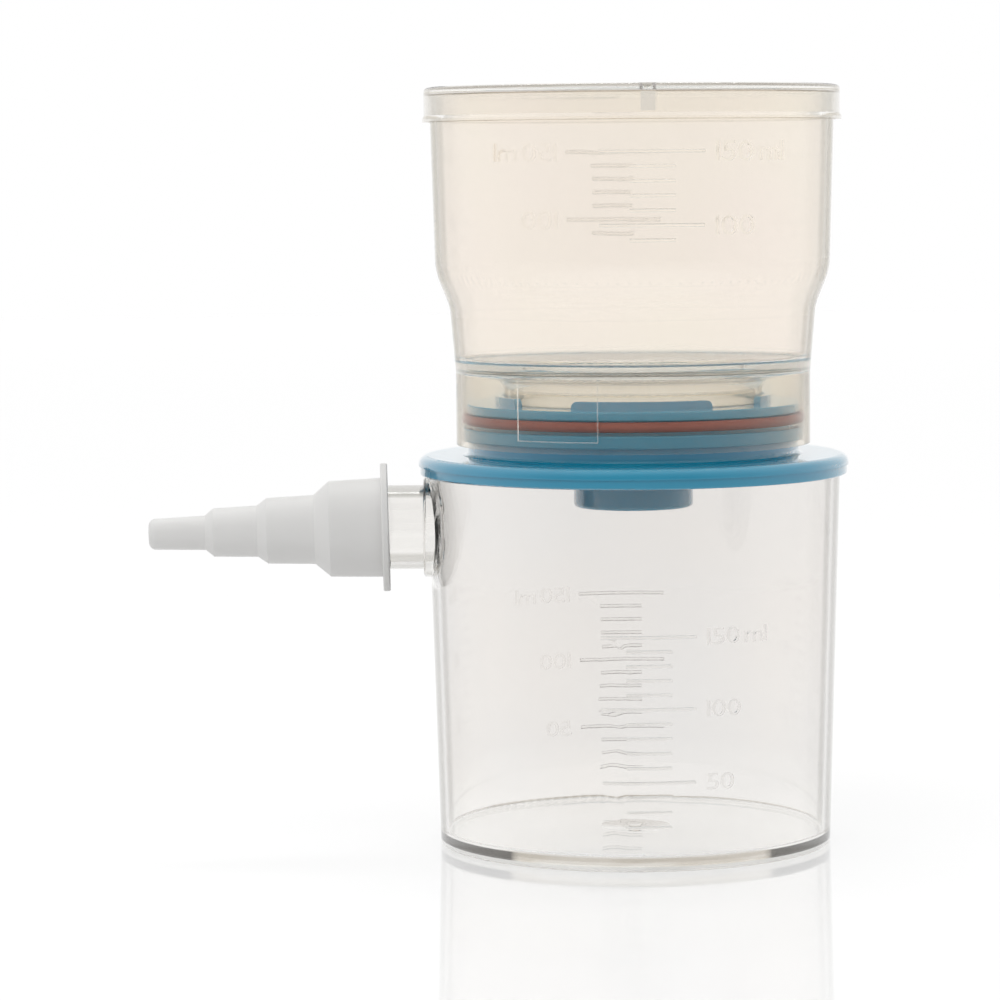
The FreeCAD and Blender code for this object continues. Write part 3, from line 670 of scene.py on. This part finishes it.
def add_bead(shape, path):
    """Low rounded bead along a path of radius, angle and level on the wall."""
    rows = []
    for index, (radius, angle, level) in enumerate(path):
        before = point_at(*path[max(index - 1, 0)])
        after = point_at(*path[min(index + 1, len(path) - 1)])
        outward = point_at(1.0, angle, 0.0)
        across = (after - before).normalized().cross(outward)
        middle = point_at(radius, angle, level)
        row = []
        for sideways, outwards in half_round(EDGE_SIDES):
            rise = outward * ((EDGE_RISE + SUNK) * outwards - SUNK)
            row.append(shape.verts.new(middle + rise + across * (EDGE_WIDTH / 2 * sideways)))
        rows.append(row)
    skin(shape, rows)


def outline_panel():
    """Witness line of the mould's insert, along the sides and foot of the panel."""
    wall, first, last, low, high = find_panel()
    height = high - low
    width = last - first
    width_steps = round(width)
    shape = bmesh.new()
    for angle in (first, last):
        add_bead(shape, [(wall, angle, low + height * step / UPRIGHT_STEPS)
                         for step in range(UPRIGHT_STEPS + 1)])
    add_bead(shape, [(wall, first + width * step / width_steps, low)
                     for step in range(width_steps + 1)])
    # The bead's lit and shaded tints are painted light and shade.
    material = mark_plastic(
        "panel_edge", lit=colour(1.0, 1.0, 0.99), shaded=colour(0.97, 0.96, 0.93), haze=0.10)
    piece = make_piece("panel_outline", shape, material, sharp_angle=50.0)
    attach(piece, "funnel")


outline_panel()


# ---------------------------------------------------------------- room

ROOM_LIGHT = 0.85
ROOM_BEHIND_CAMERA = 0.25
DARKEST_AT = -0.9  # Y of a direction
FLOOR_RADIUS = 2.5
FLOOR_DROP = 0.05 * MM
FLOOR_COLOUR = colour(0.85, 0.85, 0.85)
FLOOR_SEEN_COLOUR = colour(0.40, 0.40, 0.40)
FLOOR_GLOW = 0.6
LIGHT_TARGET = Vector((0.0, 0.0, 80.0 * MM))


def make_world():
    """White room, seen as such by the camera and through clear plastic. Gloss also sees its darker end
    behind the camera, and surfaces are lit a little less."""
    world = bpy.data.worlds.new("room")
    bpy.context.scene.world = world
    world.use_nodes = True
    shader = Shader.on_tree(world.node_tree, "OutputWorld")
    path = shader.node("LightPath").outputs
    away = shader.split(shader.node("TexCoord").outputs["Generated"])["Y"]
    in_gloss = shader.span(away, DARKEST_AT, 0.0, ROOM_BEHIND_CAMERA, 1.0)
    level = shader.blend(path["Is Glossy Ray"], ROOM_LIGHT, in_gloss, kind="FLOAT")
    level = shader.blend(shader.seen(), level, 1.0, kind="FLOAT")
    light = shader.node("Background", {"Color": WHITE, "Strength": level})
    shader.put(shader.output.inputs["Surface"], light.outputs["Background"])


def make_floor():
    """Glossy white floor, which keeps the unit's shadow and a soft reflection of it."""
    mesh = bpy.data.meshes.new("floor")
    shape = bmesh.new()
    bmesh.ops.create_circle(shape, cap_ends=True, segments=64, radius=FLOOR_RADIUS)
    shape.to_mesh(mesh)
    shape.free()
    floor = bpy.data.objects.new("floor", mesh)
    bpy.context.scene.collection.objects.link(floor)
    floor.location.z = -FLOOR_DROP
    shader = Shader("floor_white")
    in_gloss = shader.node("LightPath").outputs["Is Glossy Ray"]
    seen = shader.calculate("MAXIMUM", shader.seen(), in_gloss)
    surface = shader.node("BsdfPrincipled", {
        "Base Color": shader.blend(seen, FLOOR_COLOUR, FLOOR_SEEN_COLOUR),
        "Roughness": 1.0,
        "Specular IOR Level": 0.0,
        "Coat Weight": 1.0,
        "Coat Roughness": 0.06,
        "Coat IOR": 1.45,
        "Emission Color": WHITE,
        "Emission Strength": shader.product(seen, FLOOR_GLOW),
    })
    floor.data.materials.append(shader.finish(surface.outputs["BSDF"]))


def add_softbox(name, position, width, height, power, seen_in_gloss=False):
    """Rectangular lamp that shines on the unit, seen at most in gloss."""
    light = bpy.data.lights.new(name, "AREA")
    light.shape = "RECTANGLE"
    light.size = width
    light.size_y = height
    light.energy = power
    holder = bpy.data.objects.new(name, light)
    holder.location = position
    holder.rotation_euler = (LIGHT_TARGET - Vector(position)).to_track_quat("-Z", "Y").to_euler()
    holder.visible_camera = False
    holder.visible_glossy = seen_in_gloss
    holder.visible_transmission = False
    bpy.context.scene.collection.objects.link(holder)


make_world()
make_floor()
add_softbox("key", (-0.5, -0.7, 1.3), width=0.9, height=0.9, power=4.8)
add_softbox("overhead", (0.0, 0.45, 1.15), width=0.8, height=0.14, power=2.2, seen_in_gloss=True)


# ---------------------------------------------------------------- camera

CAMERA_POSITION = (-24.4 * MM, -731.8 * MM, 125.2 * MM)
CAMERA_DOWN = math.radians(4.879)
CAMERA_ROLL = math.radians(-0.49)
LENS = 144.66  # mm
SENSOR_WIDTH = 36.0


def add_camera():
    """The photograph's camera, worked out from the ellipses of the rim, shelf and foot."""
    lens = bpy.data.cameras.new("camera")
    lens.sensor_width = SENSOR_WIDTH
    lens.lens = LENS
    camera = bpy.data.objects.new("camera", lens)
    camera.location = CAMERA_POSITION
    tilt = Matrix.Rotation(math.pi / 2 - CAMERA_DOWN, 3, "X")
    camera.rotation_euler = (tilt @ Matrix.Rotation(CAMERA_ROLL, 3, "Z")).to_euler()
    bpy.context.scene.collection.objects.link(camera)
    bpy.context.scene.camera = camera


add_camera()
bpy.context.scene.view_settings.view_transform = "Standard"
